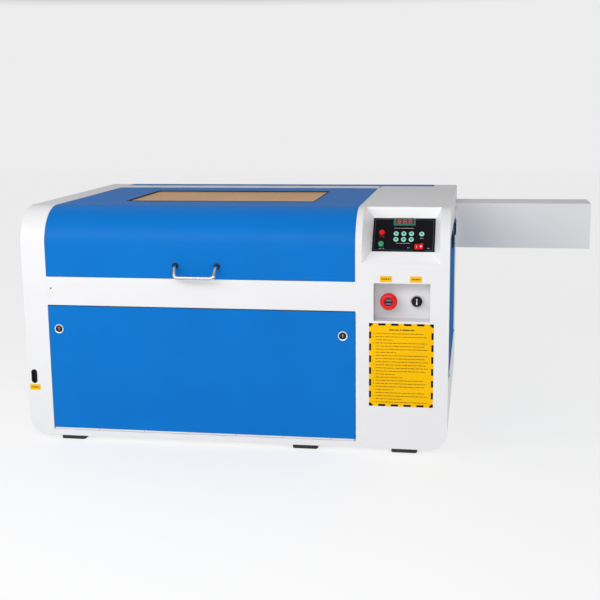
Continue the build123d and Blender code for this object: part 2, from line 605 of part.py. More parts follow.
IDLER_AT = (572, 438)
TABLE_X = (113, 753)
TABLE_Y = (40, 460)
LIFT_AT = ((TABLE_X[0] + TABLE_X[1]) / 2, 476)
with BuildPart() as frame_motors:
    slab((763, 799), (SHAFT_AT[0] - 18, SHAFT_AT[0] + 18), (SHAFT_AT[1] - 18, SHAFT_AT[1] + 18))
    slab((LIFT_AT[0] - 18, LIFT_AT[0] + 18), (LIFT_AT[1] - 18, LIFT_AT[1] + 18), (2 * T, 40))
    slab((799, COL_X), (20, 52), (SHAFT_AT[1] - 22, SHAFT_AT[1] + 22))
    slab((LIFT_AT[0] - 25, LIFT_AT[0] + 25), (LIFT_AT[1] - 22, LIFT_AT[1] + 22), (T, 2 * T))
save(frame_motors, "frame_motors")

with BuildPart() as bearing_blocks:
    slab((CHEEK_W, 90), (20, 46), (SHAFT_AT[1] - 12, SHAFT_AT[1] + 12))
    slab((90, 100), (20, 40), (SHAFT_AT[1] - 10, SHAFT_AT[1] + 10))
    disc(SIDE.offset(101), SHAFT_AT, 4.05, 60, mode=Mode.SUBTRACT)
    for x in Y_PULLEY_X:
        for ear in (x - 8, x + 5):
            slab((ear, ear + 3), (562, BAY_Y), (IDLER_AT[1] - 6, IDLER_AT[1] + 6))
        disc(SIDE.offset(x + 5), IDLER_AT, Y_PULLEY_R, 10)
save(bearing_blocks, "bearing_blocks")

with BuildPart() as y_belts:
    for x in Y_PULLEY_X:
        belt_loop(SIDE.offset(x + 3), (SHAFT_AT, IDLER_AT), Y_PULLEY_R + 0.3, 6)
save(y_belts, "y_belts")

# ---------------------------------------------------------------- table

with BuildPart() as table_frame:
    slab(TABLE_X, TABLE_Y, (TABLE_TOP - 20, TABLE_TOP))
    slab((TABLE_X[0] + 15, TABLE_X[1] - 15), (TABLE_Y[0] + 15, TABLE_Y[1] - 15), (0, H), mode=Mode.SUBTRACT)
    for x in GUIDE_X:
        for y in GUIDE_Y:
            slab(
                (min(x - 11, TABLE_X[1]), max(x + 11, TABLE_X[0])),
                about(y, 11),
                (TABLE_TOP - 20, TABLE_TOP - 8),
            )
            disc(PLAN.offset(TABLE_TOP), (x, y), GUIDE_R + 0.06, 30, mode=Mode.SUBTRACT)
    slab((LIFT_AT[0] - 13, LIFT_AT[0] + 13), (TABLE_Y[1], LIFT_AT[1] + 11), (TABLE_TOP - 20, TABLE_TOP - 8))
    disc(PLAN.offset(TABLE_TOP), LIFT_AT, GUIDE_R + 0.06, 30, mode=Mode.SUBTRACT)
save(table_frame, "table_frame")

CELL = 24
with BuildPart() as honeycomb:
    slab(grown(TABLE_X, -15), grown(TABLE_Y, -15), (TABLE_TOP - 14, TABLE_TOP - 1))
    with BuildSketch(PLAN.offset(TABLE_TOP)) as cells:
        with Locations(((TABLE_X[0] + TABLE_X[1]) / 2, (TABLE_Y[0] + TABLE_Y[1]) / 2)):
            with HexLocations(CELL / 2, 28, 14):
                RegularPolygon(CELL / 2 - 1, 6, major_radius=False)
    extrude(cells.sketch, amount=-20, mode=Mode.SUBTRACT)
save(honeycomb, "honeycomb")

with BuildPart() as table_guides:
    for x in GUIDE_X:
        for y in GUIDE_Y:
            disc(PLAN.offset(RAIL_Z0 - 4), (x, y), GUIDE_R, RAIL_Z0 - 4 - T)
            slab((x - 12, x + 12), (y - 12, y + 12), (T, 20))
save(table_guides, "table_guides")

with BuildPart() as lead_screw:
    disc(PLAN.offset(398), LIFT_AT, GUIDE_R, 358)
    disc(PLAN.offset(56), LIFT_AT, 9, 14)
save(lead_screw, "lead_screw")

# ---------------------------------------------------------------- optics and services

TUBE_X = (140, 1290)
TUBE = SIDE.offset(TUBE_X[1])
with BuildPart() as laser_tube:
    disc(TUBE, (TUBE_Y, BEAM_Z), TUBE_R, TUBE_X[1] - TUBE_X[0])
    disc(TUBE, (TUBE_Y, BEAM_Z), TUBE_R - 2.5, TUBE_X[1] - TUBE_X[0], mode=Mode.SUBTRACT)
save(laser_tube, "laser_tube")

with BuildPart() as tube_core:
    disc(TUBE, (TUBE_Y, BEAM_Z), 8, TUBE_X[1] - TUBE_X[0])
    disc(TUBE, (TUBE_Y, BEAM_Z), 5.5, TUBE_X[1] - TUBE_X[0], mode=Mode.SUBTRACT)
    for x, way in ((TUBE_X[0], -1), (TUBE_X[1], 1)):
        disc(SIDE.offset(x), (TUBE_Y, BEAM_Z), 24, -6 * way)
        disc(SIDE.offset(x + 6 * way), (TUBE_Y, BEAM_Z), 11, -18 * way)
save(tube_core, "tube_core")

with BuildPart() as tube_mounts:
    for x in (300, 880):
        slab((x - 12, x + 12), (TUBE_Y - 30, TUBE_Y + 30), (BAY_Z + T, BEAM_Z + 34))
        disc(SIDE.offset(x + 13), (TUBE_Y, BEAM_Z), TUBE_R + 0.1, 26, mode=Mode.SUBTRACT)
    slab((80, 112), (TUBE_Y - 16, TUBE_Y + 16), (BAY_Z + T, BEAM_Z + 20))
save(tube_mounts, "tube_mounts")

with BuildPart() as rear_fittings:
    for at in BARBS + (AIR_AT,):
        disc(FRONT.offset(-D - T - 24), at, 4, -40)
        pad(FRONT.offset(-D - T - 6), (at[0] - 8, at[0] + 8), (at[1] - 8, at[1] + 8), -6)
        disc(FRONT.offset(-D - T - 24), at, 2.5, -40, mode=Mode.SUBTRACT)
    pad(
        FRONT.offset(-D - T - 3), about(INLET_AT[0], 26), about(INLET_AT[1], 17), -3, 3
    )
    pad(FRONT.offset(-D - T), about(INLET_AT[0], 19.5), about(INLET_AT[1], 12.5), -25)
    pad(
        FRONT.offset(-D - T - 3), about(INLET_AT[0], 12), about(INLET_AT[1], 8), -18, 2,
        mode=Mode.SUBTRACT,
    )
    for x, z in ((-7, -2), (0, 3), (7, -2)):
        slab(
            (INLET_AT[0] + x - 1, INLET_AT[0] + x + 1),
            (D - 14, D - 1),
            (INLET_AT[1] + z - 2, INLET_AT[1] + z + 2),
        )
save(rear_fittings, "rear_fittings")

with BuildPart() as electronics:
    slab((830, 970), (120, 330), (T, 98))
    slab((COL_X + T + 8, COL_X + T + 10), (120, 300), (160, 300))
    for y in (128, 292):
        for z in (168, 292):
            slab((COL_X + T, COL_X + T + 8), (y - 3, y + 3), (z - 3, z + 3))
    slab((COL_X + T + 10, COL_X + T + 18), (180, 230), (200, 250))
    slab((COL_X + T + 10, COL_X + T + 22), (130, 290), (276, 290))
save(electronics, "electronics")
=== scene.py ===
"""The desktop laser engraver: finishes for its CAD nodes, and detailed pieces where eye and hand meet it."""

import json
import math

import bmesh
import bpy
from mathutils import Matrix, Vector


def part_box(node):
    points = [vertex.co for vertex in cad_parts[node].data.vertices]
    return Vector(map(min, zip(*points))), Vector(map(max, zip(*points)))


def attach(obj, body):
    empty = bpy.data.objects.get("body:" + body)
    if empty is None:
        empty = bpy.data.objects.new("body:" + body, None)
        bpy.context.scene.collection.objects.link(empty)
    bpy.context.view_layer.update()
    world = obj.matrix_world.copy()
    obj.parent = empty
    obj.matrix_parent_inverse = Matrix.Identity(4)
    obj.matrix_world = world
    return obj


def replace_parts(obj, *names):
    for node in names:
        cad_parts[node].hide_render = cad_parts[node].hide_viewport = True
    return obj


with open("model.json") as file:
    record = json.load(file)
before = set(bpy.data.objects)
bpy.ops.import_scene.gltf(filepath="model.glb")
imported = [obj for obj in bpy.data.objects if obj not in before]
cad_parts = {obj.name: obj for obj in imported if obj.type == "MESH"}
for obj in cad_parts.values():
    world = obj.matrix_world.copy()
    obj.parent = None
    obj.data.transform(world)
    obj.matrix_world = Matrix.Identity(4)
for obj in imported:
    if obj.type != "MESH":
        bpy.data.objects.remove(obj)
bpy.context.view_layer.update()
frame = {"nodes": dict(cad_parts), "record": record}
NODES = frame["nodes"]
MM = 0.001
CORNER = Vector(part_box("left_cheek")[0])  # the cabinet's lower front left corner
WIDTH, DEPTH, HEIGHT = 1020, 699, 559
BEND = 89  # radius of the bend along the front top edge
SMOOTH = 40  # degrees: a turned piece is shaded smooth across edges flatter than this
WELD = 1e-7  # metres: vertices closer than this are one

# ---------------------------------------------------------------- places


def at(x, y, z):
    """A point given in millimetres from the cabinet's lower front left corner."""
    return CORNER + Vector((x, y, z)) * MM


class Face:
    """A flat place on the machine: an origin, an across, an up and an outward direction."""

    def __init__(self, origin, across, up):
        self.origin, self.across, self.up = Vector(origin), Vector(across), Vector(up)
        self.out = self.across.cross(self.up)

    def point(self, x, y, out=0.0):
        """A point on the face, or standing out from it, in millimetres."""
        return self.origin + (self.across * x + self.up * y + self.out * out) * MM


CHORD_Z, CHORD_Y = 439, 98  # where the cut across the bend leaves the front and reaches the top
PANEL_DEPTH = 20  # from that cut down to the panel
RECESS_DEPTH = 40  # of the switches' recess
CHORD = math.hypot(CHORD_Y, HEIGHT - CHORD_Z)
SIN, COS = CHORD_Y / CHORD, (HEIGHT - CHORD_Z) / CHORD
FRONT = Face(CORNER, (1, 0, 0), (0, 0, 1))
CHORD_FACE = Face(at(0, 0, CHORD_Z), (1, 0, 0), (0, SIN, COS))
PANEL = Face(CHORD_FACE.point(0, 0, -PANEL_DEPTH), (1, 0, 0), (0, SIN, COS))
FLOOR = Face(at(0, RECESS_DEPTH, 0), (1, 0, 0), (0, 0, 1))  # floor of the switches' recess
TOP = Face(at(0, 0, HEIGHT), (1, 0, 0), (0, 1, 0))
BACK = Face(at(WIDTH, DEPTH, 0), (-1, 0, 0), (0, 0, 1))
RIGHT = Face(at(WIDTH, 0, 0), (0, 1, 0), (0, 0, 1))

# ---------------------------------------------------------------- materials


def socket(shader, name, value):
    """Sets a constant on a shader node's input."""
    shader.inputs[name].default_value = value


def node(tree, kind, **values):
    """A new shader node with its properties set."""
    made = tree.nodes.new(kind)
    for name, value in values.items():
        setattr(made, name, value)
    return made


def finish_of(
    name, color, rough, metallic=0.0, cloud=0.04, grain=900.0, depth=0.00004, spread=0.06,
    stretch=(1, 1, 1), coat=0.0, edge=0.0006, emission=0.0, transmission=0.0, ior=1.5, specular=0.5,
):
    """A procedural finish: a slow drift of tone, a fine grain in bump and roughness, and softened edges.

    cloud is the drift's share of the colour, grain the scale of the fine noise, and depth its height in metres.
    spread is its swing of roughness, stretch its scale along each axis, and edge the radius of the softened edges.
    """
    mat = bpy.data.materials.new(name)
    mat.use_nodes = True
    tree = mat.node_tree
    link = tree.links.new
    shader = tree.nodes["Principled BSDF"]
    place = node(tree, "ShaderNodeTexCoord")
    scaled = node(tree, "ShaderNodeMapping")
    socket(scaled, "Scale", stretch)
    link(place.outputs["Object"], scaled.inputs["Vector"])
    drift = node(tree, "ShaderNodeTexNoise")
    socket(drift, "Scale", 7.0)
    socket(drift, "Detail", 3.0)
    link(place.outputs["Object"], drift.inputs["Vector"])
    fine = node(tree, "ShaderNodeTexNoise")
    socket(fine, "Scale", grain)
    socket(fine, "Detail", 2.0)
    link(scaled.outputs["Vector"], fine.inputs["Vector"])
    tone = node(tree, "ShaderNodeValToRGB")
    dark = [c * (1 - cloud) for c in color]
    light = [min(1.0, c * (1 + cloud)) for c in color]
    tone.color_ramp.elements[0].position = 0.3
    tone.color_ramp.elements[1].position = 0.7
    tone.color_ramp.elements[0].color = (*dark, 1)
    tone.color_ramp.elements[1].color = (*light, 1)
    link(drift.outputs["Fac"], tone.inputs["Fac"])
    link(tone.outputs["Color"], shader.inputs["Base Color"])
    gloss = node(tree, "ShaderNodeMapRange")
    socket(gloss, "To Min", max(0.02, rough - spread))
    socket(gloss, "To Max", min(1.0, rough + spread))
    link(fine.outputs["Fac"], gloss.inputs["Value"])
    link(gloss.outputs["Result"], shader.inputs["Roughness"])
    soft = node(tree, "ShaderNodeBevel", samples=4)
    socket(soft, "Radius", edge)
    bump = node(tree, "ShaderNodeBump")
    socket(bump, "Distance", depth)
    socket(bump, "Strength", 0.6)
    link(fine.outputs["Fac"], bump.inputs["Height"])
    link(soft.outputs["Normal"], bump.inputs["Normal"])
    link(bump.outputs["Normal"], shader.inputs["Normal"])
    socket(shader, "Metallic", metallic)
    socket(shader, "IOR", ior)
    socket(shader, "Specular IOR Level", specular)
    if coat:
        socket(shader, "Coat Weight", coat)
        socket(shader, "Coat Roughness", 0.06)
    if transmission:
        socket(shader, "Transmission Weight", transmission)
    if emission:
        socket(shader, "Emission Color", (*color, 1))
        socket(shader, "Emission Strength", emission)
    return mat


BLUE = finish_of("blue_powder_coat", (0.0, 0.160, 0.545), 0.42, grain=420, depth=0.00005, specular=0.1)
# painted shade: the blue paint made darker and duller for the right side's access panel
SHADED_SIDE_BLUE = finish_of("blue_coat_painted_side_shade", (0.0, 0.15, 0.45), 0.8, grain=420, depth=0.00006, specular=0.05)
WHITE = finish_of(
    "white_powder_coat", (0.775, 0.775, 0.79), 0.45, grain=500, cloud=0.015, depth=0.00006, specular=0.3
)
BRIGHT = finish_of("white_moulding", (0.93, 0.93, 0.94), 0.4, grain=700, cloud=0.01, depth=0.00003)
TAN = finish_of(
    "tan_acrylic", (0.68, 0.36, 0.15), 0.3, grain=60, depth=0.00006, cloud=0.05, specular=0.16
)
BLACK = finish_of(
    "black_plastic", (0.009, 0.009, 0.010), 0.38, grain=1600, depth=0.00005, cloud=0.2, specular=0.15
)
PRINT = finish_of(
    "panel_film", (0.005, 0.004, 0.007), 0.4, grain=2400, depth=0.00002, cloud=0.25, specular=0.1
)
# black rubber, also used as painted shade in the door's gaps
RUBBER_AND_GAP_SHADE = finish_of("black_rubber", (0.02, 0.02, 0.02), 0.8, grain=700, depth=0.0002, cloud=0.25)
CHROME = finish_of("chrome", (0.6, 0.6, 0.62), 0.1, 1.0, grain=300, depth=0.00001, spread=0.05)
# a satin finish with a painted highlight: paler than CHROME, so the lock rings and key bezel read brighter
SATIN_CHROME_PAINTED_BRIGHT = finish_of("satin_chrome_painted_bright", (0.86, 0.86, 0.87), 0.3, 1.0, grain=600, depth=0.00002)
STEEL = finish_of(
    "brushed_steel", (0.55, 0.55, 0.57), 0.34, 1.0, grain=90, stretch=(1, 30, 30), depth=0.00003
)
ALUMINIUM = finish_of("anodised_aluminium", (0.62, 0.63, 0.65), 0.4, 1.0, grain=80, stretch=(1, 25, 25))
IRON = finish_of(
    "black_oxide", (0.022, 0.022, 0.024), 0.4, 0.5, grain=800, depth=0.00008, cloud=0.2, specular=0.25
)
BRASS = finish_of("brass", (0.7, 0.5, 0.22), 0.26, 1.0, grain=120, stretch=(30, 30, 1))
MINT = finish_of("mint_key", (0.33, 0.80, 0.62), 0.25, coat=0.4, grain=1500, depth=0.00003)
KEY_GREEN = finish_of("key_symbol", (0.02, 0.30, 0.17), 0.3, grain=1500, cloud=0.15)
RED = finish_of(
    "red_plastic", (0.72, 0.004, 0.010), 0.22, coat=0.2, grain=1200, depth=0.00003, specular=0.2
)
# painted shade: the dark red of the line along the rocker's fold
FOLD_SHADE_RED = finish_of("rocker_fold_shade", (0.20, 0.0, 0.005), 0.4, grain=1200, specular=0.1)
GREEN = finish_of("green_plastic", (0.01, 0.32, 0.13), 0.22, coat=0.3, grain=1200, depth=0.00003)
DISPLAY = finish_of("display_frame", (0.012, 0.15, 0.10), 0.4, grain=1500, cloud=0.1)
SCREEN = finish_of("display_screen", (0.07, 0.006, 0.008), 0.12, coat=1.0, grain=900, cloud=0.2)
DIGIT = finish_of("display_digit", (0.50, 0.11, 0.10), 0.4, emission=0.15, cloud=0.05)
YELLOW = finish_of("label_yellow", (0.90, 0.50, 0.0), 0.5, grain=700, cloud=0.04, specular=0.08)
# black ink of the labels, also used as painted shade in the screws' cross recesses
INK_AND_RECESS_SHADE = finish_of("label_ink_and_recess_shade", (0.008, 0.008, 0.008), 0.4, grain=900, cloud=0.2, specular=0.12)
ORANGE_INK = finish_of("label_brown", (0.22, 0.09, 0.005), 0.4, grain=900, cloud=0.2, specular=0.1)
PALE = finish_of("panel_lines", (0.55, 0.54, 0.57), 0.4, grain=900, cloud=0.1)
KEY_WHITE = finish_of("key_mark", (0.85, 0.85, 0.85), 0.35, grain=900)
SLATE = finish_of("estop_centre", (0.10, 0.16, 0.22), 0.3, coat=0.5, grain=900, cloud=0.3)
GLASS = finish_of(
    "tube_glass", (0.85, 0.92, 0.92), 0.06, transmission=0.9, grain=200, depth=0.00001, ior=1.47
)

FINISHES = {
    "blue_paint": BLUE, "white_paint": WHITE, "tan_acrylic": TAN, "clear_glass": GLASS,
    "black_plastic": BLACK, "red_plastic": RED, "green_plastic": GREEN, "mint_key": MINT, "black_rubber": RUBBER_AND_GAP_SHADE,
    "chrome": CHROME, "steel": STEEL, "aluminium": ALUMINIUM, "black_metal": IRON, "brass": BRASS,
}
OWN_FINISHES = {
    "panel_plate": PRINT, "side_access_panel": SHADED_SIDE_BLUE, "labels": YELLOW, "door_hinge_fixed": WHITE,
}
for part in frame["record"]["subparts"]:
    name = part["node"]
    for held in NODES[name].material_slots:
        held.material = OWN_FINISHES.get(name, FINISHES[part["material_slot"]])

# ---------------------------------------------------------------- mesh builders


def piece(name, bm, mats, body, smooth=None):
    """A finished mesh: named, shaded, given its materials and set riding on a body."""
    bmesh.ops.recalc_face_normals(bm, faces=bm.faces)
    mesh = bpy.data.meshes.new(name)
    bm.to_mesh(mesh)
    bm.free()
    for mat in mats if isinstance(mats, (list, tuple)) else [mats]:
        mesh.materials.append(mat)
    made = bpy.data.objects.new(name, mesh)
    bpy.context.scene.collection.objects.link(made)
    if smooth:
        mesh.shade_smooth()
        mesh.set_sharp_from_angle(angle=math.radians(smooth))
    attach(made, body)
    return made


def circle(face, centre, radius, height, steps, bm):
    """A loop of vertices round a centre, at a height over a face."""
    x, y = centre
    angles = [2 * math.pi * n / steps for n in range(steps)]
    places = [(x + radius * math.cos(a), y + radius * math.sin(a)) for a in angles]
    return [bm.verts.new(face.point(*place, height)) for place in places]


def bridge(bm, a, b):
    """Faces between two loops of the same number of vertices."""
    for n in range(len(a)):
        m = (n + 1) % len(a)
        bm.faces.new([a[n], a[m], b[m], b[n]])


def joined(bm, loops):
    """Faces from each loop to the next, and from the last to the first."""
    for a, b in zip(loops, loops[1:] + loops[:1]):
        bridge(bm, a, b)


def capped(bm, loops):
    """Faces from each loop to the next, and one across each end."""
    for a, b in zip(loops, loops[1:]):
        bridge(bm, a, b)
    bm.faces.new(list(reversed(loops[0])))
    bm.faces.new(loops[-1])


def turned(face, centre, profile, steps=64, bm=None, material=0):
    """A turned solid about a face's normal: profile is (radius, height) pairs, from the axis back to it."""
    bm = bm or bmesh.new()
    rings = []
    for radius, height in profile:
        on_axis = radius < 1e-6
        rings.append(circle(face, centre, radius, height, 1 if on_axis else steps, bm))
    for low, high in zip(rings, rings[1:]):
        for n in range(steps):
            m = (n + 1) % steps
            corners = [low[n % len(low)], low[m % len(low)], high[m % len(high)], high[n % len(high)]]
            bm.faces.new(list(dict.fromkeys(corners))).material_index = material
    return bm


def ring_of(face, centre, profile, steps=64, bm=None):
    """A turned ring about a face's normal, whose profile of (radius, height) pairs joins up with itself."""
    bm = bm or bmesh.new()
    joined(bm, [circle(face, centre, radius, height, steps, bm) for radius, height in profile])
    return bm


def arc_points(cx, cy, r, start, end, steps):
    """Points of an arc, its angles in degrees."""
    found = []
    for n in range(steps + 1):
        a = math.radians(start + (end - start) * n / steps)
        found.append((cx + r * math.cos(a), cy + r * math.sin(a)))
    return found


def disc_outline(cx, cy, r, steps=23):
    """A round outline, its last point short of its first."""
    return arc_points(cx, cy, r, 0, 345, steps)


def around(centre, half_x, half_y):
    """The two ends across and the two ends up of a rectangle about a centre."""
    x, y = centre
    return (x - half_x, x + half_x), (y - half_y, y + half_y)


def rectangle(x, y):
    """The corners of a rectangle between its ends across and its ends up."""
    return [(x[0], y[0]), (x[1], y[0]), (x[1], y[1]), (x[0], y[1])]


def rounded_outline(x, y, r, steps=6):
    """A rectangle with rounded corners, as a list of points."""
    left, right, low, high = x[0] + r, x[1] - r, y[0] + r, y[1] - r
    corners = ((right, high, 0), (left, high, 90), (left, low, 180), (right, low, 270))
    return [p for cx, cy, turn in corners for p in arc_points(cx, cy, r, turn, turn + 90, steps)]


def plate(face, outline, low, high, edge=0.0, bm=None):
    """A thin plate between two heights over a face, its upper edge chamfered if asked."""
    bm = bm or bmesh.new()
    centre = Vector((sum(p[0] for p in outline), sum(p[1] for p in outline))) / len(outline)
    half = max((Vector(p) - centre).length for p in outline)
    levels = [(low, 0.0), (high - edge, 0.0), (high, edge)] if edge else [(low, 0.0), (high, 0.0)]
    loops = []
    for height, inset in levels:
        k = 1 - inset / half
        loop = [centre + (Vector(p) - centre) * k for p in outline]
        loops.append([bm.verts.new(face.point(p[0], p[1], height)) for p in loop])
    capped(bm, loops)
    return bm


def frame_plate(face, outer, inner, low, high, bm=None):
    """A flat frame between two outlines of the same number of points."""
    bm = bm or bmesh.new()
    sides = ((outer, low), (outer, high), (inner, high), (inner, low))
    joined(bm, [[bm.verts.new(face.point(x, y, height)) for x, y in outline] for outline, height in sides])
    return bm


def bar(face, x, y, low, high, bm):
    """A small rounded bar over a face."""
    r = min(x[1] - x[0], y[1] - y[0]) * 0.3
    return plate(face, rounded_outline(x, y, r, 3), low, high, bm=bm)


# ---------------------------------------------------------------- control panel

RECESS_X = (821, 998)  # the funnel's rim, on the bent front edge
PANEL_X, PANEL_T = (839.5, 983.8), (43.5, 135)  # the panel: across, and up the cut
SHELL = 2  # thickness of the moulding
PRINT_LOW = 0.02  # height of the panel's print over its film


def panel_bezel():
    """The white funnel from the bent front edge down to the panel: each side is ruled from edge to edge."""
    bm = bmesh.new()
    steps = 24
    turns = [math.radians(90 * n / steps) for n in range(steps + 1)]
    bend = [(BEND - BEND * math.cos(a), HEIGHT - BEND + BEND * math.sin(a)) for a in turns]
    edge = [(0, CHORD_Z)] + bend + [(CHORD_Y, HEIGHT)]
    lengths = [0.0]
    for p, q in zip(edge, edge[1:]):
        lengths.append(lengths[-1] + math.dist(p, q))

    def panel_edge(x):
        """Places up one side of the panel, spaced like those of the bent edge."""
        low, high = PANEL_T
        return [PANEL.point(x, low + (high - low) * (length / lengths[-1]), 0) for length in lengths]

    sides = []
    for rim_x, panel_x, wall in ((RECESS_X[0], PANEL_X[0], -1), (RECESS_X[1], PANEL_X[1], 1)):
        away = (PANEL.across * wall - PANEL.out) * SHELL * MM
        rim = [bm.verts.new(at(rim_x, y, z)) for y, z in edge]
        inner = [bm.verts.new(place) for place in panel_edge(panel_x)]
        back_x, drop = rim_x + wall * SHELL, 0.4
        back_rim = [bm.verts.new(at(back_x, y + (SHELL if y < 1 else 0), z - drop)) for y, z in edge]
        back = [bm.verts.new(place + away) for place in panel_edge(panel_x)]
        for low, high in ((rim, inner), (back_rim, back), (rim, back_rim), (inner, back)):
            for n in range(len(edge) - 1):
                bm.faces.new([low[n], low[n + 1], high[n + 1], high[n]])
        sides.append((rim, inner, back, back_rim))
    for end in (0, -1):
        bridge(bm, *([loop[end] for loop in side] for side in sides))
    made = piece("panel_funnel", bm, BRIGHT, "cabinet", smooth=25)
    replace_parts(made, "panel_bezel")


def keys():
    """Seven mint key caps, each with a dished green middle: two rows of three and one apart."""
    radius, brow, round_over = 5.8, 0.9, 0.9
    turns = [math.radians(a) for a in (30, 60, 90)]
    dome = [(0, -3), (radius, -3), (radius, brow)]
    dome += [(radius - round_over * (1 - math.cos(a)), brow + round_over * math.sin(a)) for a in turns]
    dome += [(3.4, 2.0), (3.1, 1.85)]
    symbol = [(3.1, 1.85), (2.4, 1.95), (1.2, 2.05), (0, 2.08)]
    centres = [(893.8 + 17.7 * n, t) for t in (92, 76.4) for n in range(3)] + [(952.8, 91.5)]
    for n, centre in enumerate(centres, 1):
        cap = turned(PANEL, centre, dome, 48)
        turned(PANEL, centre, symbol, 48, cap, 1)
        bmesh.ops.remove_doubles(cap, verts=cap.verts, dist=WELD)
        made = piece(f"key_cap_{n}", cap, [MINT, KEY_GREEN], f"key_{n}", smooth=SMOOTH)
        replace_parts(made, f"key_{n}")


def round_buttons():
    """The red and green buttons: domed caps in black collars."""
    dome = [
        (0, -8), (6.7, -8), (6.7, 6.4), (6.55, 7.3), (6.0, 8.2), (5.0, 8.8), (3.4, 9.15), (1.6, 9.3),
        (0, 9.35),
    ]
    rim = [(7.3, 0.05), (8.9, 0.05), (8.9, 1.2), (8.3, 1.9), (7.6, 1.9), (7.3, 1.4)]
    for name, centre, mat in (("red", (861, 91.7), RED), ("green", (860.4, 61.1), GREEN)):
        cap = turned(PANEL, centre, dome, 56)
        made = piece(f"{name}_cap", cap, mat, f"{name}_button", smooth=SMOOTH)
        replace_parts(made, f"{name}_button")
        collar = ring_of(PANEL, centre, rim, 56)
        piece(f"{name}_collar", collar, BLACK, "cabinet", smooth=SMOOTH)


def rocker_switch():
    """The red rocker: a saddle-topped paddle, its left half pressed in, its marks, and a dark line of painted
    shade along its fold.
    """
    centre, half, depth, skirt = (947.25, 57), 10.6 * 0.95, 7.5, -6

    def lift(u):
        """Height of the saddle: u runs from -1 at the left end to 1 at the right."""
        return 1.55 + 2.6 * u + 1.1 * u * u if u > 0 else 1.55 + 0.9 * u + 0.2 * u * u

    bm = bmesh.new()
    across, up = 16, 8
    grid = []
    for i in range(across + 1):
        u = -1 + 2 * i / across
        row = []
        for j in range(up + 1):
            v = -1 + 2 * j / up
            rounding = 0.35 * (abs(v) ** 6 + abs(u) ** 8)
            x, y = centre[0] + half * u, centre[1] + depth * v
            row.append(bm.verts.new(PANEL.point(x, y, lift(u) - rounding)))
        grid.append(row)
    for i in range(across):
        for j in range(up):
            bm.faces.new([grid[i][j], grid[i + 1][j], grid[i + 1][j + 1], grid[i][j + 1]])
    rim = [grid[i][0] for i in range(across + 1)] + [grid[across][j] for j in range(1, up + 1)]
    rim += [grid[i][up] for i in range(across - 1, -1, -1)] + [grid[0][j] for j in range(up - 1, 0, -1)]
    low = []
    for v in rim:
        local = v.co - PANEL.origin
        low.append(bm.verts.new(PANEL.point(local.dot(PANEL.across) / MM, local.dot(PANEL.up) / MM, skirt)))
    bridge(bm, rim, low)
    bm.faces.new(low)
    made = piece("rocker_paddle", bm, RED, "rocker", smooth=35)
    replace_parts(made, "rocker")

    def mark(name, outline, mat):
        """A mark that follows the saddle: the on and off marks are printed, the fold's dark line is painted shade.
        """
        bm = bmesh.new()
        capped(bm, [
            [bm.verts.new(PANEL.point(x, y, lift((x - centre[0]) / half) + high)) for x, y in outline]
            for high in (-0.2, 0.06)
        ])
        piece(name, bm, mat, "rocker")

    x, y = centre
    mark("rocker_on_mark", disc_outline(x + 5.2, y, 2.3), KEY_WHITE)
    mark("rocker_on_mark_centre", disc_outline(x + 5.2, y, 1.2), RED)
    # painted shade along the saddle's fold
    mark("rocker_fold_shade", rectangle(*around(centre, 0.45, 6.9)), FOLD_SHADE_RED)
    mark("rocker_off_mark", rectangle(*around((x - 5.2, y), 0.5, 2.2)), KEY_WHITE)


def display():
    """A green surround, a dark screen, and three lit seven-segment digits, all 8, with one point."""
    screen_x, screen_t = (890.8, 934.2), (118, 132.4)
    inside = rounded_outline(screen_x, screen_t, 0.6)
    surround = frame_plate(PANEL, rounded_outline((886.5, 937.5), (113.5, 134), 1.5), inside, 1.21, 2.0)
    piece("display_surround", surround, DISPLAY, "cabinet")
    piece("display_screen", plate(PANEL, inside, 0.7, 1.6), SCREEN, "cabinet")

    lit = bmesh.new()
    wide, tall, stroke = 7.4, 11.4, 1.3
    base = screen_t[0] + 1.5

    def segment(x, y):
        bar(PANEL, x, y, 1.61, 1.7, lit)

    for n in range(3):
        x = screen_x[0] + 5.2 + n * 12.6
        for level in (0, 0.5, 1):
            y = base + level * (tall - stroke)
            segment((x + stroke * 0.7, x + wide - stroke * 0.7), (y, y + stroke))
        for side in (0, wide - stroke):
            for low in (base + stroke * 0.6, base + tall / 2 + stroke * 0.3):
                segment((x + side, x + side + stroke), (low, low + tall / 2 - stroke))
    segment((screen_x[0] + 26.6, screen_x[0] + 28.2), (base, base + 1.6))
    piece("display_digits", lit, DIGIT, "cabinet")


def panel_print():
    """The printed lines of the panel: plain dashes where captions would be, and a fine border."""
    dashes = bmesh.new()
    captions = [((889, 934), 107.2), ((895, 927), 66.2), ((857, 866), 83.2), ((855, 868), 51.4)]
    captions += [((949, 957.5), 80.2), ((921, 926.5), 54.4), ((966.5, 972.5), 53.2)]
    short, long, gap, half_tall = 2.4, 3.4, 0.7, 0.55
    for (start, high), y in captions:
        width = short
        while start < high:
            end = min(high, start + width)
            bar(PANEL, (start, end), (y - half_tall, y + half_tall), PRINT_LOW, 0.1, dashes)
            start = end + gap
            width = long if width == short else short
    piece("panel_dashes", dashes, PALE, "cabinet")

    margin, line = 4, 0.5
    x, t = (PANEL_X[0] + margin, PANEL_X[1] - margin), (PANEL_T[0] + margin, PANEL_T[1] - margin)
    inner = rounded_outline((x[0] + line, x[1] - line), (t[0] + line, t[1] - line), 1.6)
    border = frame_plate(PANEL, rounded_outline(x, t, 2), inner, PRINT_LOW, 0.08)
    piece("panel_border", border, SLATE, "cabinet")


panel_bezel()
keys()
round_buttons()
rocker_switch()
display()
panel_print()

# ---------------------------------------------------------------- emergency stop and key switch

STOP, KEY = (882.2, 349), (945.5, 347)


